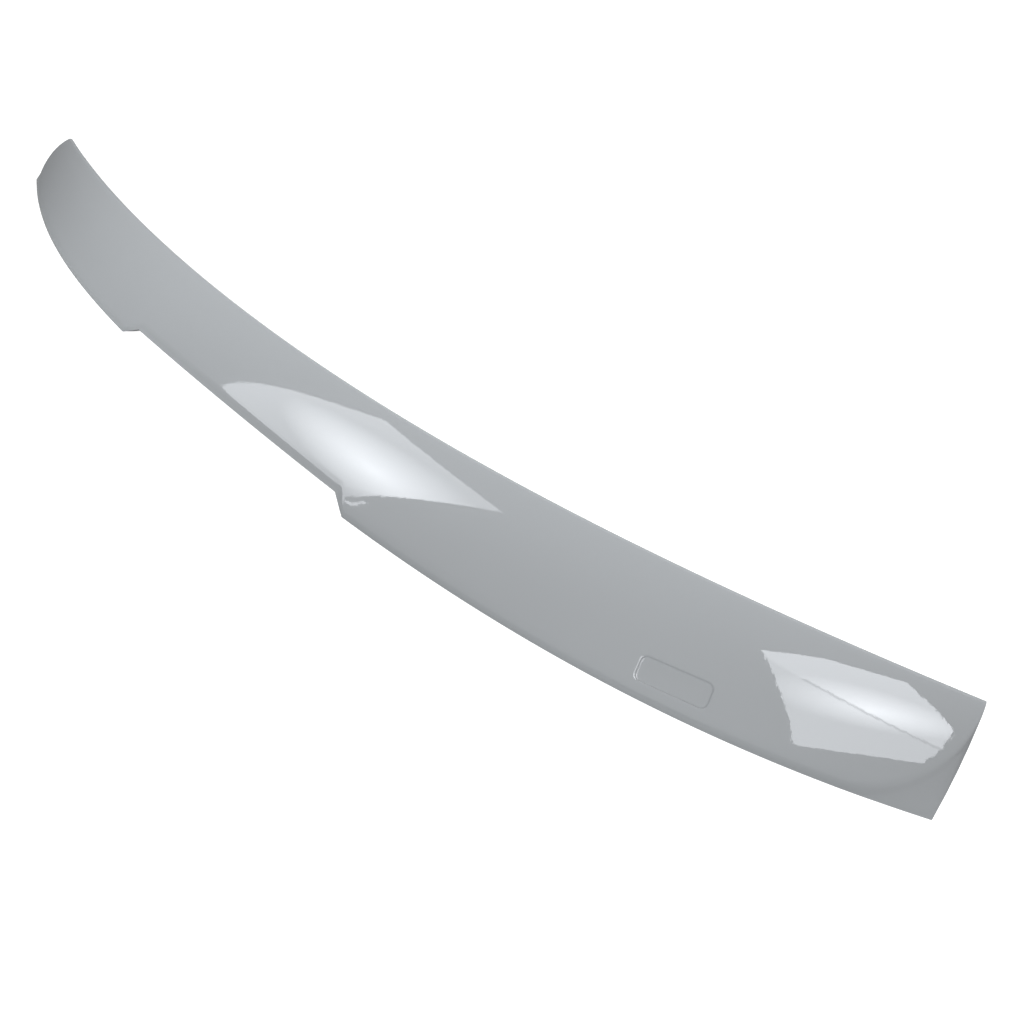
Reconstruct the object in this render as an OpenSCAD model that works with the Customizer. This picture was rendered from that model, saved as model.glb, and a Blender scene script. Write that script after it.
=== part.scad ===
// Rear spoiler of a car: one thin moulded shell, open underneath. It lies as it rests on
// a table, face up, with the rear lip on the surface. X runs along the length, +Y points
// to the front of the car and +Z is up. The origin is the middle of the part's footprint.

/* [Length] */
// Half of the length, measured at the front corners
half_front = 650; // [500:1:800]
// How far the rear corners stand out past the front corners
end_slant = 12; // [0:0.5:40]
// How far the cut at each end bows outwards
end_bow = 1.4; // [0:0.1:4]

/* [Plan] */
// Width from the front edge to the rear lip, at the middle
chord = 107; // [90:1:140]
// How far the front corners lie ahead of the middle of the front edge
front_sweep = 58; // [40:1:90]
// How far the rear corners lie ahead of the middle of the rear lip
rear_sweep = 96; // [60:1:105]

/* [Face] */
// Height of the front edge at the middle
front_h = 14; // [12:0.5:25]
// Height of the front corners
corner_h = 35.5; // [28:0.5:50]
// Height of the face where it would meet the rear lip without its hem
lip_h = 4.5; // [4:0.1:8]
// Rise of the face above a straight line from lip to front edge
crown = 6; // [4:0.5:10]
// Wall of the shell
wall = 3; // [2:0.1:3.5]

/* [Edges] */
// Width of the turned-down hem along the rear lip
hem_w = 2.2; // [1.8:0.1:6]
// Height over which the fold between hem and face is rounded
hem_round = 2.6; // [1:0.1:4]
// How far the face curls down towards the lip
lip_curl = 1.2; // [0:0.1:1.5]
// Width over which it curls down
lip_reach = 10; // [6:0.5:12]
// Radius of the rolled front edge at the middle
rim_r = 6.5; // [4:0.1:7.5]
// Radius of the rolled front edge at its corners
rim_end_r = 4; // [3.6:0.1:7]
// Depth of the turned-down flange under the rolled front edge
flange_h = 3; // [2:0.5:6]

/* [Notch in the rear lip] */
// Half width of the notch along the lip
notch_half = 203; // [120:0.5:300]
// Length of each slanted step, along the lip
notch_step = 21.5; // [8:0.5:50]
// Depth of the notch at the middle
notch_depth = 14.5; // [10:0.5:25]
// Height of the notch's edge above the lip
notch_h = 6.5; // [4:0.5:7]
// Width of the bevel along the notch
notch_bevel = 7.5; // [5:0.5:12]
// Height over which the fold of the bevel is rounded
bevel_round = 0.8; // [0.3:0.1:2]

/* [End panels] */
// Length over which the hem widens into the end panel
panel_len = 50; // [25:1:100]
// Power of the curve that the crease follows, 2 is an ellipse
panel_power = 2.2; // [1.6:0.1:3]
// Height over which the crease is rounded
crease_round = 2.2; // [0.5:0.1:3]
// How far the end panel lies below the face at the crease
panel_sink = 0.6; // [0:0.1:1]

/* [Recess for a badge] */
// Length of the recess
recess_l = 52; // [30:1:80]
// Width of the recess
recess_w = 19; // [12:1:22]
// Corner radius of the recess
recess_r = 5; // [3:0.5:6]
// Depth of the recess
recess_d = 1.2; // [0.5:0.1:1.6]
// Width of its sloping wall
recess_slope = 1.5; // [0.8:0.1:2.5]
// Place of its middle along the length
recess_x = 502.5; // [300:0.5:560]
// Distance of its middle from the rear lip
recess_y = 17.5; // [16:0.5:40]
// Turn of the recess against the lip
recess_turn = 2; // [-5:0.5:5]

/* [Mesh] */
// Sections along half of the length
sections = 44; // [24:1:60]
// Points across the face
rows = 14; // [10:1:24]

/* [Hidden] */
paint = [0.66, 0.68, 0.69];

// The front edge and the rear lip grow with the square and the fourth power of the distance
// from the middle. Each share is the part that the square has.
front_square = 0.79;
lip_square = 0.53;
rise_square = 1.75;
// The notch's edge bows by this share of the lip's own bow
notch_bow = 0.45;
// Share of a step by which the soft bend of its fold reaches past the step
step_blend = 0.15;
// Distance from the front edge at which the crease ends, in radii of the rolled corner
crease_gap = 1.2;
// Largest shares of the hem and of the face that half a fold takes, on the inner side of both
fold_in_hem = 0.9;
fold_in_face = 0.9;
fold_inside = 0.4;
// Height over which the fold is rounded on the inner side
inner_round = 0.8;
// Share of the end panel over which its sink and the rounding of its crease set in
soft_end = 0.4;
// Width of the riser between the sunk panel and the crease
riser_w = 5;
// Least stretch of face between the inner fold and the rolled edge
inner_face = 0.5;

// Half of the length, measured at the rear corners
half_rear = half_front + end_slant;

// Shares of the half length: the notch's corners, its steps and the start of the end panel
notch_t = notch_half / half_rear;
notch_step_t = notch_step / half_rear;
panel_t = 1 - panel_len / half_rear;

// Rows of a section: the hem, its fold and the rolled front edge
hem_rows = 3;
fold_steps = [for (i = [-3:3]) i / 3];
rim_steps = 4;
// Sections up to a notch's step, along the step, on to the end panel and along the panel
middle_n = round(sections / 6);
step_n = round(sections / 11);
side_n = round(sections / 2.75);
panel_n = round(sections / 3);

function mix(a, b, w) = a + (b - a) * w;
function unit_clamp(w) = min(1, max(0, w));
function ease(w) = w * w * (3 - 2 * w);

// The lower of two heights, with the corner between them rounded over the height k
function soft_min(a, b, k) =
    let (w = unit_clamp(0.5 + 0.5 * (b - a) / k))
    mix(b, a, w) - k * w * (1 - w);

// Edges of the section at t, which is 0 in the middle of the part and 1 at its ends
function front_y(t) = front_sweep * mix(t ^ 4, t ^ 2, front_square);
function front_z(t) = mix(front_h, corner_h, mix(t ^ 4, t ^ 2, rise_square));
function lip_y(t) = rear_sweep * mix(t ^ 4, t ^ 2, lip_square) - chord;
function width(t) = front_y(t) - lip_y(t);
function rim(t) = mix(rim_r, rim_end_r, t ^ 4);
function flange_z(t) = front_z(t) - rim(t) - flange_h;

// Height of the face at the share v of the width, from the lip to the front edge
function curl(t, v) = max(0, 1 - v * width(t) / lip_reach);
function face_z(t, v) = mix(lip_h, front_z(t), v) + 4 * crown * v * (1 - v) - lip_curl * curl(t, v) ^ 2;
function face_slope(t, v) =
    (front_z(t) - lip_h + 4 * crown * (1 - 2 * v)) / width(t) + 2 * lip_curl / lip_reach * curl(t, v);

// The notch: 0 outside it, 1 inside it, and a straight ramp along each step. The fold bends
// softly where the edge has corners.
function notch_ramp(t) = unit_clamp((notch_t - t) / notch_step_t);
function notch_soft(t) =
    ease(unit_clamp(((notch_t - t) / notch_step_t + step_blend) / (1 + 2 * step_blend)));
function notch_deep(t) = notch_depth - (1 - notch_bow) * (lip_y(t) + chord);
function edge_v(t) = notch_ramp(t) * notch_deep(t) / width(t);
function edge_z(t) = notch_ramp(t) * notch_h;

// The end panel: 0 up to its start, 1 at the very end, and how far it is sunk there
function along_panel(t) = unit_clamp((t - panel_t) / (1 - panel_t));
function panel_ramp(t) = ease(unit_clamp(along_panel(t) / soft_end));
function sink(t) = panel_sink * panel_ramp(t);

// The fold between hem and face. Past the start of the end panel it runs to the front corner.
function crease_share(t) = 1 - (1 - along_panel(t) ^ panel_power) ^ (1 / panel_power);
function fold_v(t) =
    let (soft = notch_soft(t),
         near = (soft * notch_deep(t) + mix(hem_w, notch_bevel, soft)) / width(t),
         corner = 1 - crease_gap * rim_end_r / width(t))
    mix(near, corner, crease_share(t));
function fold_round(t) =
    mix(mix(hem_round, crease_round, panel_ramp(t)), bevel_round, notch_soft(t));

// Slope and height of the hem, with the riser at the crease, and half the width of the fold
function hem_slope(t) =
    (face_z(t, fold_v(t)) - sink(t) - edge_z(t)) / ((fold_v(t) - edge_v(t)) * width(t));
function hem_z(t, v) =
    edge_z(t) + (v - edge_v(t)) * width(t) * hem_slope(t)
    + sink(t) * ease(unit_clamp(1 + (v - fold_v(t)) * width(t) / riser_w));
function slope_step(t) = hem_slope(t) - face_slope(t, fold_v(t));
function fold_half(t) =
    min(fold_round(t) / slope_step(t) / width(t), fold_in_hem * (fold_v(t) - edge_v(t)),
        fold_in_face * (1 - rim(t) / width(t) - fold_v(t)));

// How far a circle of radius r has dropped at the distance e from its top
function roll_drop(r, e) = r - sqrt(max(0, r * r - e * e));

// Place of the share v on the section at s, from -1 at one end to 1 at the other, at the height z
function place(s, v, z) =
    let (t = abs(s), half = mix(half_rear, half_front, v) + 4 * end_bow * v * (1 - v))
    [s * half, mix(lip_y(t), front_y(t), v), z];

// One side of a section, from the edge of the hem over the face and down the front flange:
// the edge at v_edge and z_edge, the fold at v_fold with the half width dv and rounded over the
// height k, the hem lowered by hem_off, the face by the distance skin square to it, and the
// front edge rolled with the radius r
function side(s, v_edge, z_edge, v_fold, dv, k, hem_off, skin, r) =
    let (t = abs(s), w = width(t), v_rim = 1 - rim(t) / w,
         hem = [for (i = [1:hem_rows - 1]) mix(v_edge, v_fold - dv, i / hem_rows)],
         fold = [for (f = fold_steps) v_fold + f * dv],
         face = [for (i = [1:rows]) mix(v_fold + dv, v_rim, i / rows)],
         roll = [for (i = [1:rim_steps]) r * sin(90 * i / rim_steps)],
         skin_z = function(v) skin * sqrt(1 + face_slope(t, v) ^ 2),
         top = function(v) soft_min(face_z(t, v) - skin_z(v), hem_z(t, v) - hem_off, k))
    concat(
        [place(s, v_edge, z_edge)],
        [for (v = concat(hem, fold, face)) place(s, v, top(v))],
        [for (e = roll) place(s, v_rim + e / w, top(v_rim + e / w) - roll_drop(r, e))],
        [place(s, v_rim + r / w, flange_z(t))]);

function outer_side(s) =
    let (t = abs(s))
    side(s, edge_v(t), edge_z(t), fold_v(t), fold_half(t), fold_round(t), 0, 0, rim(t));

// The inner side lies one wall further in, and the hem ends in a flat foot where it meets z = 0
function inner_side(s) =
    let (t = abs(s), w = width(t), m = hem_slope(t), f = face_slope(t, fold_v(t)),
         hem_off = wall * sqrt(1 + m * m), face_off = wall * sqrt(1 + f * f),
         z_edge = max(0, edge_z(t) - wall / sqrt(1 + m * m)),
         v_edge = edge_v(t) + (z_edge + hem_off - edge_z(t)) / m / w,
         v_rim = 1 - rim(t) / w,
         v_fold = min(fold_v(t) + (hem_off - face_off) / (m - f) / w, v_rim - inner_face / w),
         dv = min(inner_round / (m - f) / w, fold_inside * min(v_fold - v_edge, v_rim - v_fold)))
    side(s, v_edge, z_edge, v_fold, dv, inner_round, hem_off, wall, rim(t) - wall);

// Places of the sections along one half: even stretches, and closer ones at steps and crease
function stretch(a, b, n) = [for (i = [1:n]) mix(a, b, i / n)];
half_t = concat([0],
    stretch(0, notch_t - notch_step_t, middle_n),
    stretch(notch_t - notch_step_t, notch_t, step_n),
    stretch(notch_t, panel_t, side_n),
    [for (i = [1:panel_n]) mix(panel_t, 1, sin(90 * i / panel_n))]);
all_s = concat([for (i = [len(half_t) - 1:-1:1]) -half_t[i]], half_t);

// The shell: a ring of points round each section, joined from end to end
module shell() {
    rings = [for (s = all_s) let (a = outer_side(s), b = inner_side(s))
        concat(a, [for (i = [len(b) - 1:-1:0]) b[i]])];
    n = len(rings[0]);
    last = len(rings) - 1;
    // The diagonals of one half mirror those of the other
    sides = [for (i = [0:last - 1], j = [0:n - 1]) let (a = i * n + j, b = i * n + (j + 1) % n)
        each (i < last / 2 ? [[a, b, a + n], [b, b + n, a + n]] : [[a, b, b + n], [a, b + n, a + n]])];
    // Each end is closed by a strip between its outer and its inner side
    caps = [for (j = [0:n / 2 - 2]) let (k = n - 1 - j, m = last * n)
        each [[j, k, j + 1], [j + 1, k, k - 1], [m + j, m + j + 1, m + k], [m + j + 1, m + k - 1, m + k]]];
    polyhedron([for (r = rings) each r], concat(sides, caps), convexity = 8);
}

// The recess's own frame on the face: its middle, and its turn about X, Y and Z
recess_t = recess_x / half_rear;
recess_v = recess_y / width(recess_t);
recess_end_t = (recess_x + recess_l / 2) / half_rear;
function on_face(t, v) = place(t, v, face_z(t, v));
recess_run = on_face(recess_end_t, recess_v) - on_face(2 * recess_t - recess_end_t, recess_v);
recess_yaw = atan2(recess_run.y, recess_run.x) + recess_turn;
recess_pitch = -atan2(recess_run.z, norm([recess_run.x, recess_run.y]));
recess_roll = atan(face_slope(recess_t, recess_v) * cos(recess_yaw));
// How far the cutter stands above the face, and the height of the plates that it is drawn with
recess_over = 2;
plate_h = 0.01;

// A flat plate with rounded corners, grown by g on every side, at the height z
module plate(g, z) {
    translate([0, 0, z]) linear_extrude(plate_h) hull()
        for (x = [-1, 1], y = [-1, 1])
            translate([x * (recess_l / 2 - recess_r), y * (recess_w / 2 - recess_r)])
                circle(recess_r + g, $fn = 32);
}

// What the recess takes out: it widens from its floor to well above the face
module recess_cut() {
    translate(on_face(recess_t, recess_v)) rotate([recess_roll, recess_pitch, recess_yaw]) hull() {
        plate(-recess_slope, -recess_d);
        plate(recess_slope * recess_over / recess_d, recess_over);
    }
}

module spoiler_shell() {
    color(paint) translate([0, -(front_y(1) + lip_y(notch_t)) / 2, 0]) difference() {
        shell();
        recess_cut();
    }
}

spoiler_shell();
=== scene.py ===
# %% [markdown]
# # The rear spoiler of a car
# The object is one thin moulded shell of glossy light grey plastic, 1.3 m long and 0.1 m wide.
# Nearly everything that the eye reads in it is a reflection, so the surface has to be smooth
# and exact before any material helps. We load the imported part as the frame, work the surface
# out from the same formulas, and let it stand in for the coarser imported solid.

import math

import bpy
import numpy as np
from mathutils import Matrix, Quaternion, Vector


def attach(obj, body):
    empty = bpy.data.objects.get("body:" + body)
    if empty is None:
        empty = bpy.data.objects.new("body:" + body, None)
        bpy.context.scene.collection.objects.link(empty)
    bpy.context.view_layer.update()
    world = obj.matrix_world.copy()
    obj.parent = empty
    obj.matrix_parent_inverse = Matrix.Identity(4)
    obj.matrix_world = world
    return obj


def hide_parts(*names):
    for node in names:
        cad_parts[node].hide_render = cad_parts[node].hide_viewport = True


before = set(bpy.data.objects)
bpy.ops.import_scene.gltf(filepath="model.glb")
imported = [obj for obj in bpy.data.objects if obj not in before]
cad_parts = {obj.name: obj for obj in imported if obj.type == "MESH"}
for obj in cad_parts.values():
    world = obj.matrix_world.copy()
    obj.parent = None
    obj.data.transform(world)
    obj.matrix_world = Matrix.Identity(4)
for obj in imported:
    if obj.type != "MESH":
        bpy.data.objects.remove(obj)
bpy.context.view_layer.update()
MM = 0.001

# %% [markdown]
# ## Sizes
# All lengths are in millimetres and turn to metres at the very end, because a moulder thinks
# in millimetres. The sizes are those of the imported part, under the same names. Only the sink
# of the end panels and the width of its riser differ, for a slightly crisper crease.

# %% Sizes of the spoiler
HALF_FRONT, END_SLANT, END_BOW = 650.0, 12.0, 1.4
HALF_REAR = HALF_FRONT + END_SLANT
CHORD, FRONT_SWEEP, REAR_SWEEP = 107.0, 58.0, 96.0
FRONT_H, CORNER_H, LIP_H, CROWN, WALL = 14.0, 35.5, 4.5, 6.0, 3.0
HEM_W, LIP_CURL, LIP_REACH, RIM_R, RIM_END_R, FLANGE_H = 2.2, 1.2, 10.0, 6.5, 4.0, 3.0
HEM_ROUND, BEVEL_ROUND, CREASE_ROUND, INNER_ROUND = 2.6, 0.8, 2.2, 0.8
PANEL_SINK, SOFT_END, RISER_W = 0.9, 0.4, 4.0
NOTCH_HALF, NOTCH_STEP, NOTCH_DEPTH, NOTCH_H, NOTCH_BEVEL = 203.0, 21.5, 14.5, 6.5, 7.5
PANEL_LEN, PANEL_POWER = 50.0, 2.2
FRONT_SQUARE, LIP_SQUARE, RISE_SQUARE, NOTCH_BOW = 0.79, 0.53, 1.75, 0.45
STEP_BLEND, CREASE_GAP = 0.15, 1.2
FOLD_IN_HEM, FOLD_IN_FACE, FOLD_INSIDE, INNER_FACE = 0.9, 0.9, 0.4, 0.5

NOTCH_T = NOTCH_HALF / HALF_REAR
STEP_T = NOTCH_STEP / HALF_REAR
PANEL_T = 1 - PANEL_LEN / HALF_REAR
print("notch of", 2 * NOTCH_HALF, "mm, end panels of", PANEL_LEN, "mm")

# %% [markdown]
# ## The surface as a function
# A spoiler could be box-modelled and subdivided, but then its long gentle curves depend on
# where a few points happen to sit. A formula gives an even curve at any number of points. Two
# numbers name a place: t goes from 0 in the middle of the part to 1 at its ends, and v from 0
# on the rear lip to 1 on the front edge. Every helper takes whole arrays. Near the lip the face
# curls down a little, which turns its reflection darker there.

# %% Small helpers for curves
def mix(a, b, w):
    """The value a share w of the way from a to b."""
    return a + (b - a) * w


def ease(w):
    """A smooth step from 0 to 1: three times the square less twice the cube."""
    return w * w * (3 - 2 * w)


def soft_min(a, b, k):
    """The lower of two heights, with the corner between them rounded over the height k."""
    w = np.clip(0.5 + 0.5 * (b - a) / k, 0, 1)
    return mix(b, a, w) - k * w * (1 - w)


def unit(a):
    """Arrows of length 1 with the directions of a."""
    return a / np.linalg.norm(a, axis=-1, keepdims=True)


print("smooth step at a quarter of the way:", ease(0.25))


# %% Plan and heights
def front_y(t):
    """Front edge in plan: its sweep times a blend of t squared and t to the fourth."""
    return FRONT_SWEEP * mix(t**4, t**2, FRONT_SQUARE)


def front_z(t):
    """Front edge in height: from the middle's height to the corner's, blended likewise."""
    return mix(FRONT_H, CORNER_H, mix(t**4, t**2, RISE_SQUARE))


def lip_y(t):
    """Rear lip in plan, one width behind the front edge in the middle."""
    return REAR_SWEEP * mix(t**4, t**2, LIP_SQUARE) - CHORD


def width(t):
    """Width of the section: front edge less rear lip."""
    return front_y(t) - lip_y(t)


def rim(t):
    """Radius of the rolled front edge, which tightens towards the corners."""
    return mix(RIM_R, RIM_END_R, t**4)


def curl(t, v):
    """1 on the rear lip, and down to 0 within the reach of its curl."""
    return np.maximum(0, 1 - v * width(t) / LIP_REACH)


def face_z(t, v):
    """The face: a straight line from lip to front edge, plus a crown of 4 v (1 - v), less the
    square of the curl near the lip."""
    return mix(LIP_H, front_z(t), v) + 4 * CROWN * v * (1 - v) - LIP_CURL * curl(t, v) ** 2


def face_slope(t, v):
    """Rise of the face for each millimetre of width."""
    straight = (front_z(t) - LIP_H + 4 * CROWN * (1 - 2 * v)) / width(t)
    return straight + 2 * LIP_CURL / LIP_REACH * curl(t, v)


CENTRE_Y = (front_y(1) + lip_y(NOTCH_T)) / 2
print("width in the middle", width(0), "mm, at the ends", round(width(1), 1), "mm")


# %% [markdown]
# ## The notch, the hem and the crease
# The rear lip carries a turned-down hem. In the middle the lip steps back into a wide notch,
# and towards each end the hem widens into a folded triangular panel. One line, the fold,
# divides hem and face from end to end, so one function for it draws all three features. Each
# end panel is sunk a little, and a soft riser along the crease leads up to the face, as where
# a real panel is set back so that the crease stays crisp under paint.

# %% Notch, hem and fold
def notch_ramp(t):
    """0 outside the notch, 1 inside it, and a straight ramp along its step."""
    return np.clip((NOTCH_T - t) / STEP_T, 0, 1)


def notch_soft(t):
    """The same ramp with soft bends, for the fold, which rounds the corners of the edge."""
    ramp = (NOTCH_T - t) / STEP_T + STEP_BLEND
    return ease(np.clip(ramp / (1 + 2 * STEP_BLEND), 0, 1))


def notch_deep(t):
    """How far the notch's edge lies in front of the lip."""
    return NOTCH_DEPTH - (1 - NOTCH_BOW) * (lip_y(t) + CHORD)


def edge_v(t):
    """Where the hem's edge lies: on the lip, or as deep as the notch reaches."""
    return notch_ramp(t) * notch_deep(t) / width(t)


def edge_z(t):
    """Height of the hem's edge: 0 on the lip, higher in the notch."""
    return notch_ramp(t) * NOTCH_H


def along_panel(t):
    """0 up to the start of the end panel, 1 at the very end."""
    return np.clip((t - PANEL_T) / (1 - PANEL_T), 0, 1)


def panel_ramp(t):
    """0 before the end panel and 1 over most of it, with a smooth start."""
    return ease(np.clip(along_panel(t) / SOFT_END, 0, 1))


def fold_v(t):
    """The fold runs one hem's width from the edge. On the end panel a curve of the form
    1 - (1 - a^p)^(1/p) takes it to the front corner."""
    crease = 1 - (1 - along_panel(t) ** PANEL_POWER) ** (1 / PANEL_POWER)
    soft = notch_soft(t)
    near = (soft * notch_deep(t) + mix(HEM_W, NOTCH_BEVEL, soft)) / width(t)
    return mix(near, 1 - CREASE_GAP * RIM_END_R / width(t), crease)


def fold_round(t):
    """Height over which the fold is rounded: most on the plain hem, less on the crease of
    the end panel, and least on the bevel of the notch."""
    plain = mix(HEM_ROUND, CREASE_ROUND, panel_ramp(t))
    return mix(plain, BEVEL_ROUND, notch_soft(t))


print("the fold lies", round(fold_v(0) * width(0), 1), "mm from the lip's line in the notch")


# %% Height of the hem and width of the fold
def sink(t):
    """How far the end panel lies below the face at the crease."""
    return PANEL_SINK * panel_ramp(t)


def hem_slope(t):
    """Rise over run of the straight hem, from its edge to the face at the fold."""
    rise = face_z(t, fold_v(t)) - sink(t) - edge_z(t)
    return rise / ((fold_v(t) - edge_v(t)) * width(t))


def hem_z(t, v):
    """Height of the hem at the share v: its straight slope, and a smooth riser at the crease."""
    riser = sink(t) * ease(np.clip(1 + (v - fold_v(t)) * width(t) / RISER_W, 0, 1))
    return edge_z(t) + (v - edge_v(t)) * width(t) * hem_slope(t) + riser


def fold_half(t):
    """Half of the width over which the fold is rounded: the height of the round over the
    change of slope, but no wider than the hem and the face beside it leave room for."""
    w, slope_step = width(t), hem_slope(t) - face_slope(t, fold_v(t))
    in_hem = FOLD_IN_HEM * (fold_v(t) - edge_v(t))
    in_face = FOLD_IN_FACE * (1 - rim(t) / w - fold_v(t))
    return np.minimum(fold_round(t) / slope_step / w, np.minimum(in_hem, in_face))


def roll_drop(r, e):
    """How far a circle of radius r has dropped at the distance e from its top."""
    return r - np.sqrt(np.maximum(0, r * r - e * e))


def place(s, v, z):
    """The point at s along the length, v across the width and the height z."""
    half = mix(HALF_REAR, HALF_FRONT, v) + 4 * END_BOW * v * (1 - v)
    t = np.abs(s)
    return np.stack(np.broadcast_arrays(s * half, mix(lip_y(t), front_y(t), v) - CENTRE_Y, z), -1)


print("hem in the notch rises", round(float(np.degrees(np.arctan(hem_slope(0.0)))), 1), "degrees")


# %% [markdown]
# ## One section after the other
# Each section is a closed ring: over the outer side from the lip to the front edge, round the
# rolled rim and down its flange, then back along the inner side one wall further in. Both
# sides have as many points, so that the ends close with plain strips.

# %% The two sides of every section
HEM_ROWS, FOLD_ROWS, FACE_ROWS, RIM_ROWS = 4, 9, 34, 9
FLANGE_STOPS = np.array([0.5, 1.0])


def side(s, v_edge, z_edge, v_fold, dv, k, hem_off, skin, r):
    """Rows of points: even steps up the hem, over the fold, along the face and by equal
    angles round the rim, whose circle has the radius r, then down the flange. The fold is
    rounded over the height k. The hem is lowered by hem_off, and the face by the distance
    skin square to it."""
    t, w = np.abs(s), width(np.abs(s))
    v_rim = 1 - rim(t) / w
    steps = [
        mix(v_edge, v_fold - dv, np.arange(1, HEM_ROWS) / HEM_ROWS),
        v_fold + np.linspace(-1, 1, FOLD_ROWS) * dv,
        mix(v_fold + dv, v_rim, np.arange(1, FACE_ROWS + 1) / FACE_ROWS),
        v_rim + r / w * np.sin(np.linspace(0, np.pi / 2, RIM_ROWS + 1)[1:]),
    ]
    v = np.concatenate(steps, 1)
    past_rim = np.clip((v - v_rim) * w, 0, r)
    face = face_z(t, v) - skin * np.sqrt(1 + face_slope(t, v) ** 2)
    z = soft_min(face, hem_z(t, v) - hem_off, k) - roll_drop(r, past_rim)
    flange = FLANGE_STOPS * (front_z(t) - rim(t) - FLANGE_H - z[:, -1:]) + z[:, -1:]
    v = np.concatenate([v_edge, v, v[:, -1:] + 0 * flange], 1)
    return place(s, v, np.concatenate([z_edge, z, flange], 1))


def outer_side(s):
    """The side that is seen: no offset, the full radius at the rim."""
    t = np.abs(s)
    return side(s, edge_v(t), edge_z(t), fold_v(t), fold_half(t), fold_round(t), 0, 0, rim(t))


def inner_side(s):
    """One wall further in, measured square to hem and face. The hem ends in a flat foot."""
    t = np.abs(s)
    w, m, f = width(t), hem_slope(t), face_slope(t, fold_v(t))
    hem_off, face_off = WALL * np.sqrt(1 + m * m), WALL * np.sqrt(1 + f * f)
    z_edge = np.maximum(0, edge_z(t) - WALL / np.sqrt(1 + m * m))
    v_edge = edge_v(t) + (z_edge + hem_off - edge_z(t)) / m / w
    v_rim = 1 - rim(t) / w
    v_fold = np.minimum(fold_v(t) + (hem_off - face_off) / (m - f) / w, v_rim - INNER_FACE / w)
    room = FOLD_INSIDE * np.minimum(v_fold - v_edge, v_rim - v_fold)
    dv = np.minimum(INNER_ROUND / (m - f) / w, room)
    return side(s, v_edge, z_edge, v_fold, dv, INNER_ROUND, hem_off, WALL, rim(t) - WALL)


middle = np.zeros((1, 1))
print(outer_side(middle).shape[1], "points on the outer side,", inner_side(middle).shape[1], "inside")


# %% [markdown]
# ## Where the sections stand
# The steps of the notch and the end panels turn quickly, so the sections stand close there
# and wide apart elsewhere. A moulded edge is never knife-sharp. At the ends the last sections
# shrink a little along a quarter circle, and at the lip and the flange each corner becomes a
# short curve. A Bevel modifier could do it, but not evenly where the faces are this narrow.

# %% Sections from end to end
EDGE_R, CORNER_R, CORNER_SHARE = 0.35, 0.4, 0.45
CORNER_ROWS, END_ROWS = 4, 4
NOTCH_SECTIONS, STEP_SECTIONS, BLADE_SECTIONS, PANEL_SECTIONS = 72, 36, 130, 64
end_t = EDGE_R / HALF_REAR
stops = [0, NOTCH_T - STEP_T, NOTCH_T, PANEL_T, 1 - end_t]
t_half = np.concatenate([
    np.linspace(stops[0], stops[1], NOTCH_SECTIONS + 1),
    np.linspace(stops[1], stops[2], STEP_SECTIONS + 1)[1:],
    np.linspace(stops[2], stops[3], BLADE_SECTIONS + 1)[1:],
    mix(stops[3], stops[4], np.sin(np.linspace(0, np.pi / 2, PANEL_SECTIONS + 1)[1:])),
])
turn = np.linspace(0, np.pi / 2, END_ROWS + 1)[1:]
t_all = np.concatenate([t_half, 1 - end_t * (1 - np.sin(turn))])
inset = np.concatenate([0 * t_half, EDGE_R * (1 - np.cos(turn))])
s_all = np.concatenate([-t_all[:0:-1], t_all])[:, None]
inset_all = np.concatenate([inset[:0:-1], inset])[:, None, None]
print(len(s_all), "sections")


# %% Rings with soft corners
def corner(before, at, after):
    """A short curve in place of a corner: the parabola between two points CORNER_R away, or
    nearer where the sides of the corner are short."""
    sides = [np.linalg.norm(p - at, axis=-1, keepdims=True) for p in (before, after)]
    reach = [np.minimum(CORNER_R, CORNER_SHARE * length) for length in sides]
    a, b = at + unit(before - at) * reach[0], at + unit(after - at) * reach[1]
    u = np.linspace(0, 1, CORNER_ROWS)[None, :, None]
    a, at, b = a[:, None], at[:, None], b[:, None]
    return a * (1 - u) ** 2 + 2 * at * u * (1 - u) + b * u**2


outer, inner = outer_side(s_all), inner_side(s_all)
rings = np.concatenate([
    corner(inner[:, 0], outer[:, 0], outer[:, 1]), outer[:, 1:-1],
    corner(outer[:, -2], outer[:, -1], inner[:, -1]),
    corner(outer[:, -1], inner[:, -1], inner[:, -2]), inner[:, -2:0:-1],
    corner(inner[:, 1], inner[:, 0], outer[:, 0]),
], 1)
along = unit(np.roll(rings, -1, 1) - np.roll(rings, 1, 1))
inward = unit(np.stack([0 * along[..., 0], along[..., 2], -along[..., 1]], -1))
rings = rings + inward * inset_all
rings[..., 2] = np.maximum(rings[..., 2], 0)
n_sections, n_ring = rings.shape[:2]
print(n_ring, "points in each ring")


# %% [markdown]
# ## The recess for a badge
# Near one end a rounded rectangle, 52 mm by 19 mm, is pressed into the face. Pushing the
# points of the plain grid down would give a ragged outline, because the grid's lines don't
# follow the recess. So a window is cut out of the grid and filled with loops: the first loop
# is the window's own rim, and the next ones take the recess's outline and walk inwards.

# %% The recess's place on the face
RECESS_L, RECESS_W, RECESS_R, RECESS_D, RECESS_SLOPE = 52.0, 19.0, 5.0, 1.2, 1.5
RECESS_X, RECESS_Y, RECESS_TURN = 502.5, 17.5, 2.0
AXIS_STEP = 0.03
recess_t = RECESS_X / HALF_REAR
recess_v = RECESS_Y / width(recess_t)


def face_point(t, v):
    """A point of the bare face."""
    return place(t, v, face_z(t, v))


def face_normal(t, v, h=1e-5):
    """Square to the face: the cross product of a short step along t and one along v."""
    step_t = face_point(t + h, v) - face_point(t - h, v)
    step_v = face_point(t, v + h) - face_point(t, v - h)
    return unit(np.cross(step_t, step_v))


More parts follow.
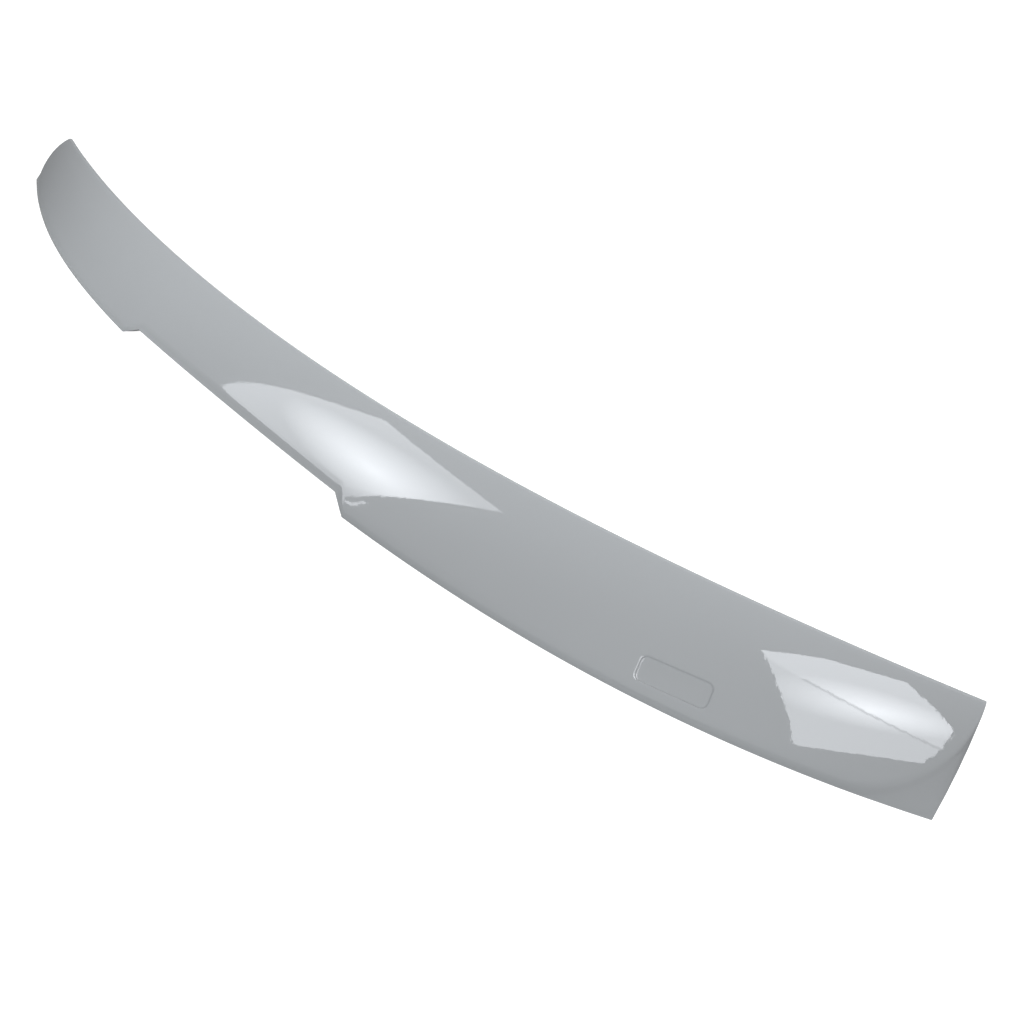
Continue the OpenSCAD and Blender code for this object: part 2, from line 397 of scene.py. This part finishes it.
centre = face_point(recess_t, recess_v)
up = face_normal(recess_t, recess_v)
run = unit(face_point(recess_t + AXIS_STEP, recess_v) - face_point(recess_t - AXIS_STEP, recess_v))
tilt = math.radians(RECESS_TURN)
long_axis = unit(run * math.cos(tilt) + np.cross(up, run) * math.sin(tilt))
short_axis = np.cross(up, long_axis)
print("recess at", np.round(centre, 1), "mm, its long side runs along", np.round(long_axis, 3))


# %% From the recess's own plane back to the face
def on_face(xy):
    """t and v of the face's point that lies over or under each point of the recess's plane.
    Newton's method: compare, and step by the inverse of the local stretch, five times."""
    tv = np.tile([recess_t, recess_v], (len(xy), 1)).astype(float)
    h = 1e-4
    for _ in range(5):
        t, v = tv[:, 0], tv[:, 1]
        flat = [(p - centre) @ np.stack([long_axis, short_axis], 1)
                for p in (face_point(t, v), face_point(t + h, v), face_point(t, v + h))]
        stretch = np.stack([(flat[1] - flat[0]) / h, (flat[2] - flat[0]) / h], -1)
        tv += np.linalg.solve(stretch, (xy - flat[0])[..., None])[..., 0]
    return tv[:, 0], tv[:, 1]


corner_t, corner_v = on_face(np.array([[RECESS_L / 2, RECESS_W / 2]]))
print("the recess's outer corner lies at t", np.round(corner_t, 4), "v", np.round(corner_v, 4))

# %% The window in the grid
# The window reaches this far along the part both ways, and across it between these two
# distances from the lip.
WINDOW_HALF, WINDOW_LOW, WINDOW_HIGH = 34.0, 4.8, 34.0
x_columns = s_all[:, 0] * HALF_REAR
lo_col = int(np.argmin(np.abs(x_columns - (RECESS_X - WINDOW_HALF))))
hi_col = int(np.argmin(np.abs(x_columns - (RECESS_X + WINDOW_HALF))))
mid_col = (lo_col + hi_col) // 2
lip_distance = np.linalg.norm(rings[mid_col] - rings[mid_col, 0], axis=1)[: n_ring // 2]
lo_row = int(np.argmin(np.abs(lip_distance - WINDOW_LOW)))
hi_row = int(np.argmin(np.abs(lip_distance - WINDOW_HIGH)))
cols, rows = hi_col - lo_col, hi_row - lo_row
window = np.concatenate([
    [(c, lo_row) for c in range(lo_col, hi_col)], [(hi_col, r) for r in range(lo_row, hi_row)],
    [(c, hi_row) for c in range(hi_col, lo_col, -1)], [(lo_col, r) for r in range(hi_row, lo_row, -1)],
])
print("window of", cols, "by", rows, "cells")

# %% [markdown]
# ## The walls of the recess
# A wall pressed into plastic isn't one even slope. It starts with a shallow ledge, drops
# steeply, and ends with another ledge at its foot. The ledges decide how the recess looks:
# on its left side both of them mirror a lamp, so two fine bright lines run side by side there.

# %% Outline and profile of the walls
ROUND_OUT, LEDGE_W, LEDGE_SLOPE, LEDGE_TURN = 0.5, 0.8, 0.2, 0.12
RIM_LOOPS, FLOOR_LOOPS = 5, (0.8, 0.6, 0.4, 0.2, 0.0)


def outline(grow):
    """A rounded rectangle, grown by so much, in as many points as the window has: each side
    and half of the two corners beside it gets the points of the window's side."""
    r = RECESS_R + grow
    sides = []
    for k, n in enumerate((cols, rows, cols, rows)):
        half = (RECESS_L if k % 2 == 0 else RECESS_W) / 2 + grow - r
        off = (RECESS_W if k % 2 == 0 else RECESS_L) / 2 + grow - r
        arc = r * math.pi / 4
        d = (np.arange(n) / n - 0.5) * 2 * (half + arc)
        bend = np.clip(np.abs(d) - half, 0, arc) / r
        x = np.sign(d) * (np.minimum(np.abs(d), half) + r * np.sin(bend))
        y = -off - r * np.cos(bend)
        a = k * math.pi / 2
        x, y = x * math.cos(a) - y * math.sin(a), x * math.sin(a) + y * math.cos(a)
        sides.append(np.stack([x, y], 1))
    return np.concatenate(sides)


def wall_profile():
    """How far each loop lies outside the outline, and how deep. The slope is a line through a
    few bends: level, ledge, steep, ledge, level. The depth is the sum of the slope along the
    walk, and the steep part is as steep as the whole depth needs."""
    foot = -RECESS_SLOPE - ROUND_OUT
    head = ROUND_OUT - np.array([0, LEDGE_TURN, LEDGE_W, LEDGE_W + LEDGE_TURN])
    bends = np.concatenate([head, (foot + ROUND_OUT - head)[::-1]])
    steep = (RECESS_D - LEDGE_SLOPE * 2 * LEDGE_W) / (bends[3] - bends[4] + LEDGE_TURN)
    slopes = np.array([0, LEDGE_SLOPE, LEDGE_SLOPE, steep, steep, LEDGE_SLOPE, LEDGE_SLOPE, 0])
    halfway = (bends[1:] + bends[:-1]) / 2
    walk = np.append(np.stack([bends[:-1], halfway], 1).ravel(), bends[-1])
    pitch = np.interp(-walk, -bends, slopes)
    steps = (pitch[1:] + pitch[:-1]) / 2 * -np.diff(walk)
    return walk, np.concatenate([[0], np.cumsum(steps)])


walk, depth = wall_profile()
print("recess", round(float(depth[-1]), 2), "mm deep in", len(walk), "loops")

# %% Loops of the recess
rim_xy = (rings[window[:, 0], window[:, 1]] - centre) @ np.stack([long_axis, short_axis], 1)
shares = np.linspace(0, 1, RIM_LOOPS + 2)[1:-1]
loops = [(mix(rim_xy, outline(ROUND_OUT), ease(k)), 0.0) for k in shares]
loops += [(outline(g), d) for g, d in zip(walk, depth)]
loops += [(outline(walk[-1]) * k, depth[-1]) for k in FLOOR_LOOPS]
loop_points = []
for xy, deep in loops[:-1] + [(np.zeros((1, 2)), depth[-1])]:
    t, v = on_face(xy)
    loop_points.append(face_point(t, v) - face_normal(t, v) * deep)
print(len(loops), "loops of", len(window), "points")

# %% [markdown]
# ## Putting the mesh together
# Blender wants one list of points and one of faces. The grid's faces wrap round each ring,
# strips close both ends, the faces inside the window are left out, and the loops fill it.

# %% Points and faces
index = np.arange(n_sections * n_ring).reshape(n_sections, n_ring)
here, beside = index, np.roll(index, -1, 1)
grid = np.stack([here[:-1], here[1:], beside[1:], beside[:-1]], -1)
keep = np.ones(grid.shape[:2], bool)
keep[lo_col:hi_col, lo_row:hi_row] = False
j = np.arange(n_ring // 2 - 1)
strip = np.stack([j, j + 1, n_ring - 2 - j, n_ring - 1 - j], -1)
quads = [grid[keep], strip, (strip + index[-1, 0])[:, ::-1]]

start = index.size
loop_index = [index[window[:, 0], window[:, 1]]]
for p in loop_points[:-1]:
    loop_index.append(start + np.arange(len(p)))
    start += len(p)
for a, b in zip(loop_index, loop_index[1:]):
    quads.append(np.stack([a, np.roll(a, -1), np.roll(b, -1), b], -1))
quads = np.concatenate(quads)
last = loop_index[-1]
fan = np.stack([last, np.roll(last, -1), np.full(len(last), start)], -1)
points = np.concatenate([rings.reshape(-1, 3), *loop_points])
print(len(points), "points,", len(quads) + len(fan), "faces")

# %% A mesh from arrays
SHARP_DEG = 50


def mesh_piece(name, points_mm, faces, sharp_deg):
    """A new object: points in metres, faces shaded smooth except over steep edges."""
    mesh = bpy.data.meshes.new(name)
    mesh.from_pydata((points_mm * MM).tolist(), [], faces)
    mesh.validate()
    mesh.shade_smooth()
    mesh.set_sharp_from_angle(angle=math.radians(sharp_deg))
    piece = bpy.data.objects.new(name, mesh)
    bpy.context.scene.collection.objects.link(piece)
    return piece


shell = mesh_piece("moulded_shell", points, quads.tolist() + fan.tolist(), SHARP_DEG)
under = np.zeros(len(points), np.float32)
under[: index.size] = np.tile(np.arange(n_ring) >= n_ring // 2, n_sections)
shell.data.attributes.new("underside", "FLOAT", "POINT").data.foreach_set("value", under)
print("triangles:", 2 * len(quads) + len(fan))


# %% [markdown]
# ## Glossy moulded plastic
# The real part is ABS, injection moulded in a polished tool and left glossy. Its colour is a
# cool light grey, which drifts a little over the length. Such a surface is never a perfect
# mirror: it has a faint waviness with a length of a few millimetres, and the waves make the
# rim of a reflection tremble. A Bump node tilts the mirror by that little without moving the
# surface. Underneath, where the tool isn't polished, the plastic is satin.

# %% Colours and nodes
def linear(code, alpha=1.0):
    """An sRGB hex colour as linear red, green, blue and alpha."""
    c = np.array([int(code[i : i + 2], 16) for i in (1, 3, 5)]) / 255
    return (*np.where(c <= 0.04045, c / 12.92, ((c + 0.055) / 1.055) ** 2.4), alpha)


def add(tree, kind, settings=None, links=None):
    """Adds a node. Settings fill its properties or the constants of its inputs, and links feed
    its inputs from the outputs of other nodes. An input goes by its name or its number."""
    node = tree.nodes.new(kind)
    for key, value in (settings or {}).items():
        if isinstance(key, str) and hasattr(node, key):
            setattr(node, key, value)
        else:
            node.inputs[key].default_value = value
    for key, source in (links or {}).items():
        tree.links.new(source, node.inputs[key])
    return node


print("mid grey in linear light:", round(float(linear("#808080")[0]), 3))

# %% The plastic and its shell
WAVE_MM, PATCH_MM, NOISE_DETAIL = 4.5, 160.0, 2.0
WAVE_STRENGTH, WAVE_HEIGHT_MM = 0.7, 0.02
DARKER_GREY, LIGHTER_GREY = "#97989a", "#9a9b9d"
GLOSS_ROUGH, SATIN_ROUGH, ABS_IOR = 0.02, 0.45, 1.53

abs_plastic = bpy.data.materials.new("Moulded_gloss_ABS")
abs_plastic.use_nodes = True
nt = abs_plastic.node_tree
nt.nodes.clear()
coords = add(nt, "ShaderNodeTexCoord").outputs["Object"]
waves, patches = [
    add(nt, "ShaderNodeTexNoise", {"Scale": 1 / (size * MM), "Detail": NOISE_DETAIL}, {"Vector": coords})
    for size in (WAVE_MM, PATCH_MM)
]
greys = {"data_type": "RGBA", "A": linear(DARKER_GREY), "B": linear(LIGHTER_GREY)}
tone = add(nt, "ShaderNodeMix", greys, {"Factor": patches.outputs["Fac"]})
side_of_shell = add(nt, "ShaderNodeAttribute", {"attribute_name": "underside"})
rough = add(nt, "ShaderNodeMapRange", {"To Min": GLOSS_ROUGH, "To Max": SATIN_ROUGH},
            {"Value": side_of_shell.outputs["Fac"]})
bump = add(nt, "ShaderNodeBump", {"Strength": WAVE_STRENGTH, "Distance": WAVE_HEIGHT_MM * MM},
           {"Height": waves.outputs["Fac"]})
plastic = add(nt, "ShaderNodeBsdfPrincipled", {"IOR": ABS_IOR}, {
    "Base Color": tone.outputs["Result"],
    "Roughness": rough.outputs["Result"],
    "Normal": bump.outputs["Normal"],
})
add(nt, "ShaderNodeOutputMaterial", links={"Surface": plastic.outputs["BSDF"]})
shell.data.materials.append(abs_plastic)
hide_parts("spoiler_shell")
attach(shell, "root")
print(len(nt.nodes), "nodes in the plastic")

# %% [markdown]
# ## Floor and backdrop
# The photograph is a plain product shot that is white all round, yet the part's lower edges
# stay grey, so little light comes up from below. One plain white floor can't do both. This
# paper is as dull as a mid grey for all light that reaches the part, and the camera alone
# sees it glow white. The room behind it does the same further down.

# %% Floor
FLOOR_HALF = 6.0
PAPER_GREY, PAPER_GLOW = "#939393", 0.97

floor_mesh = bpy.data.meshes.new("floor")
floor_corners = [(x * FLOOR_HALF, y * FLOOR_HALF, 0) for x, y in ((-1, -1), (1, -1), (1, 1), (-1, 1))]
floor_mesh.from_pydata(floor_corners, [], [(0, 1, 2, 3)])
floor = bpy.data.objects.new("floor", floor_mesh)
bpy.context.scene.collection.objects.link(floor)
paper = bpy.data.materials.new("Matt_white_paper")
paper.use_nodes = True
pt = paper.node_tree
pt.nodes.clear()
to_camera = add(pt, "ShaderNodeLightPath").outputs["Is Camera Ray"]
glow = add(pt, "ShaderNodeMath", {"operation": "MULTIPLY", 1: PAPER_GLOW}, {0: to_camera})
shine = add(pt, "ShaderNodeEmission", links={"Strength": glow.outputs[0]})
grey = add(pt, "ShaderNodeBsdfDiffuse", {"Color": linear(PAPER_GREY)})
both = add(pt, "ShaderNodeAddShader", links={0: grey.outputs[0], 1: shine.outputs[0]})
add(pt, "ShaderNodeOutputMaterial", links={"Surface": both.outputs[0]})
floor_mesh.materials.append(paper)
print("floor of", 2 * FLOOR_HALF, "m")

# %% [markdown]
# ## Lamps that the gloss mirrors
# Two large softboxes are mirrored in the plastic. Their places were found backwards: from the
# camera to the outline of each highlight, off the surface, and on to where the lamp must have
# been. The glow within a highlight tells how its cloth is lit: a hot spot that fades evenly to
# the edges. Straight black cards, which a photographer calls flags, cut the corners off, and
# where two widths of cloth meet there is a seam, with less light along it and beyond it. A
# narrow strip beside the left box shows next to the notch. The softboxes light the gloss and
# nothing else, because in the photograph the body's own tone hardly follows them.

# %% The glow of the cloth
SEAM_HALF, SEAM_EDGE = 5.0, 14.0


def cloth_glow(tree, size_mm, glow, hot, reach, flags=(), seam=None):
    """Nodes for the radiance at each place of the cloth, in mm from its middle. It falls in a
    straight line from glow[0] at the hot spot to glow[1] where the distance, in shares of the
    reach each way, is 1. A flag is dark where the dot product of its direction and the place
    is over its limit. A seam is a groove where the product with its direction is near its
    middle, as far as the product square to that is under its start. The cloth on the side
    below the middle is dimmer."""
    (w, h), (hot_x, hot_y), (reach_x, reach_y) = size_mm, hot, reach
    at = add(tree, "ShaderNodeNewGeometry").outputs["Parametric"]
    to_mm = {"operation": "MULTIPLY_ADD", 1: (w, h, 0), 2: (-w / 2, -h / 2, 0)}
    at = add(tree, "ShaderNodeVectorMath", to_mm, {0: at}).outputs["Vector"]
    from_hot = {"operation": "MULTIPLY_ADD", 1: (1 / reach_x, 1 / reach_y, 0),
                2: (-hot_x / reach_x, -hot_y / reach_y, 0)}
    away = add(tree, "ShaderNodeVectorMath", from_hot, {0: at}).outputs["Vector"]
    away = add(tree, "ShaderNodeVectorMath", {"operation": "LENGTH"}, {0: away}).outputs["Value"]
    fade = {"To Min": glow[0], "To Max": glow[1]}
    level = add(tree, "ShaderNodeMapRange", fade, {"Value": away}).outputs["Result"]

    shares = []
    for across, limit in flags:
        dot = {"operation": "DOT_PRODUCT", 1: (*across, 0)}
        reached = add(tree, "ShaderNodeVectorMath", dot, {0: at}).outputs["Value"]
        clear = add(tree, "ShaderNodeMath", {"operation": "LESS_THAN", 1: limit}, {0: reached})
        shares.append(clear.outputs[0])
    if seam:
        (x, y), places = seam["across"], []
        for direction in ((x, y, 0), (-y, x, 0)):
            dot = {"operation": "DOT_PRODUCT", 1: direction}
            places.append(add(tree, "ShaderNodeVectorMath", dot, {0: at}).outputs["Value"])
        from_middle = {"operation": "SUBTRACT", 1: seam["middle"]}
        off = add(tree, "ShaderNodeMath", from_middle, {0: places[0]}).outputs[0]
        gap = add(tree, "ShaderNodeMath", {"operation": "ABSOLUTE"}, {0: off}).outputs[0]
        darker = {"From Min": SEAM_HALF, "From Max": SEAM_EDGE, "To Min": seam["left"]}
        groove = add(tree, "ShaderNodeMapRange", darker, {"Value": gap}).outputs["Result"]
        before_start = {"operation": "LESS_THAN", 1: seam["start"]}
        sewn = add(tree, "ShaderNodeMath", before_start, {0: places[1]}).outputs[0]
        through = {"Value": sewn, "To Max": groove}
        shares.append(add(tree, "ShaderNodeMapRange", {"To Min": 1.0}, through).outputs["Result"])
        dimmer = {"From Min": -SEAM_HALF, "From Max": SEAM_HALF, "To Min": seam["beyond"]}
        shares.append(add(tree, "ShaderNodeMapRange", dimmer, {"Value": off}).outputs["Result"])
    times = {"operation": "MULTIPLY"}
    for share in shares:
        level = add(tree, "ShaderNodeMath", times, {0: level, 1: share}).outputs[0]
    return level


print("a seam is", 2 * SEAM_EDGE, "mm wide")

# %% A softbox
CLOTH_COLOUR = (0.93, 0.955, 1.0)


def softbox(name, centre_mm, sides, size_mm, **cloth):
    """A rectangular lamp at centre_mm, whose sides run along two directions and whose cloth
    glows as cloth_glow says. It shines downwards, and only mirrors show it."""
    x_axis = unit(np.array(sides[0]))
    z_axis = unit(np.cross(x_axis, sides[1]))
    z_axis *= np.sign(z_axis[2])
    y_axis = np.cross(z_axis, x_axis)
    lamp = bpy.data.lights.new(name, "AREA")
    lamp.shape = "RECTANGLE"
    lamp.size, lamp.size_y = (v * MM for v in size_mm)
    # With this power the strength of the Emission node is the lamp's radiance.
    lamp.energy = lamp.size * lamp.size_y * math.pi
    lamp.color = CLOTH_COLOUR
    lamp.use_nodes = True
    lt = lamp.node_tree
    lt.nodes.clear()
    shine = add(lt, "ShaderNodeEmission", links={"Strength": cloth_glow(lt, size_mm, **cloth)})
    add(lt, "ShaderNodeOutputLight", links={"Surface": shine.outputs[0]})
    holder = bpy.data.objects.new(name, lamp)
    turn = Matrix(np.stack([x_axis, y_axis, z_axis], 1).tolist()).to_4x4()
    holder.matrix_world = Matrix.Translation(np.array(centre_mm) * MM) @ turn
    holder.visible_diffuse = False
    bpy.context.scene.collection.objects.link(holder)
    print(name, size_mm, "mm,", len(lt.nodes), "nodes")


# %% The three softboxes
# For each box its middle, the directions of its sides and their lengths, then its cloth.
LEFT_SIDES = (0.8556, -0.5176, 0.0044), (0.5072, 0.8365, -0.2074)
RIGHT_SIDES = (0.7699, 0.5388, 0.342), (-0.4555, 0.8393, -0.2969)
OFF_THE_CLOTH = 2000

softbox(
    "lamp_left", (-1310, -48, 1381), LEFT_SIDES, (870, 1602),
    glow=(11.5, 3.4), hot=(235, 318), reach=(600, 410),
    flags=[((-0.981, -0.195), 495)],
    seam={"across": (-0.973, 0.23), "middle": -364, "start": OFF_THE_CLOTH, "left": 1.0, "beyond": 0.9},
)
softbox(
    "lamp_strip", (-942, -396, 1406), LEFT_SIDES, (44, 236),
    glow=(5.0, 5.0), hot=(0, 0), reach=(900, 900),
    flags=[((0.991, 0.122), 2)],
)
softbox(
    "lamp_right", (760, -270, 1493), RIGHT_SIDES, (500, 1400),
    glow=(14.6, 6.5), hot=(14, 168), reach=(270, 320),
    flags=[
        ((0.992, 0.124), 246), ((0.9985, -0.054), 217),
        ((-0.9996, 0.0274), 225), ((-0.539, 0.843), 613),
    ],
    seam={"across": (0.89, 0.455), "middle": 51.4, "start": 400, "left": 0.55, "beyond": 0.82},
)

# %% [markdown]
# ## Light for the body
# What is left is the plastic's own tone. It was measured all along the part in the photograph,
# and a small set of lights that gives nearly the same tones was worked out: three soft fills
# and a pale room that is brighter to the front and to the right. No mirror shows the fills.
# The room is white to the camera, as the floor is.

# %% Soft fills
FILL_COLOUR = (0.93, 0.985, 1.0)
# For each fill its place in metres, its power in watts and the length of its side in metres.
FILLS = {
    "fill_front": ((0.067, 1.164, 0.472), 17.9, 0.4),
    "fill_left": ((-0.429, -0.465, 0.555), 4.7, 0.3),
    "fill_right": ((0.704, -0.308, 0.448), 2.3, 0.3),
}
for name, (location, watts, size) in FILLS.items():
    lamp = bpy.data.lights.new(name, "AREA")
    lamp.size, lamp.energy, lamp.color = size, watts, FILL_COLOUR
    holder = bpy.data.objects.new(name, lamp)
    holder.location = location
    holder.rotation_mode = "QUATERNION"
    holder.rotation_quaternion = Vector(location).to_track_quat("Z", "Y")
    holder.visible_camera = holder.visible_glossy = False
    bpy.context.scene.collection.objects.link(holder)
print(len(FILLS), "fills, together", round(sum(watts for _, watts, _ in FILLS.values()), 1), "W")

# %% A pale room
ROOM_COLOUR = (1.0, 0.995, 1.0, 1)
ROOM_LOW, ROOM_TOP, ROOM_FROM = 0.36, 0.6, 0.35
ROOM_SIDES = {"Y": (0.58, 1.42), "X": (0.4, 1.6)}

room = bpy.data.worlds.new("pale_room")
bpy.context.scene.world = room
room.use_nodes = True
wt = room.node_tree
wt.nodes.clear()
way = add(wt, "ShaderNodeTexCoord").outputs["Generated"]
way = add(wt, "ShaderNodeSeparateXYZ", links={"Vector": way})
upwards = {
    "interpolation_type": "SMOOTHSTEP",
    "From Min": ROOM_FROM,
    "To Min": ROOM_LOW,
    "To Max": ROOM_TOP,
}
level = add(wt, "ShaderNodeMapRange", upwards, {"Value": way.outputs["Z"]}).outputs["Result"]
for axis, (low, high) in ROOM_SIDES.items():
    across = {"From Min": -1.0, "To Min": low, "To Max": high}
    share = add(wt, "ShaderNodeMapRange", across, {"Value": way.outputs[axis]}).outputs["Result"]
    level = add(wt, "ShaderNodeMath", {"operation": "MULTIPLY"}, {0: level, 1: share}).outputs[0]
to_camera = add(wt, "ShaderNodeLightPath").outputs["Is Camera Ray"]
level = add(wt, "ShaderNodeMath", {"operation": "MAXIMUM"}, {0: level, 1: to_camera}).outputs[0]
sky = add(wt, "ShaderNodeBackground", {"Color": ROOM_COLOUR}, {"Strength": level})
add(wt, "ShaderNodeOutputWorld", links={"Surface": sky.outputs["Background"]})
print("room from", ROOM_LOW, "near the floor to", ROOM_TOP, "overhead")

# %% [markdown]
# ## Camera
# The camera stands above the right end, a little behind it, and looks down along the part
# from close by, so the far end shrinks strongly. Its place and turn come from the same fit as
# the shape: lines through mirror pairs of points on the two halves of the part meet in one
# vanishing point.

# %% Camera
EYE = Vector((0.64254, -0.24270, 0.49184))
AIM = Vector((0.30777, 0.01679, 0.0))
SENSOR_MM, LENS_MM, ROLL_DEG = 36.0, 28.125, -9.003

camera = bpy.data.objects.new("camera", bpy.data.cameras.new("camera"))
camera.data.sensor_width, camera.data.lens = SENSOR_MM, LENS_MM
roll = Quaternion((0, 0, 1), math.radians(ROLL_DEG))
camera.rotation_mode = "QUATERNION"
camera.rotation_quaternion = (AIM - EYE).to_track_quat("-Z", "Y") @ roll
camera.location = EYE
bpy.context.scene.collection.objects.link(camera)
bpy.context.scene.camera = camera
bpy.context.scene.view_settings.view_transform = "Standard"
print("camera", round((AIM - EYE).length, 3), "m from what it aims at")
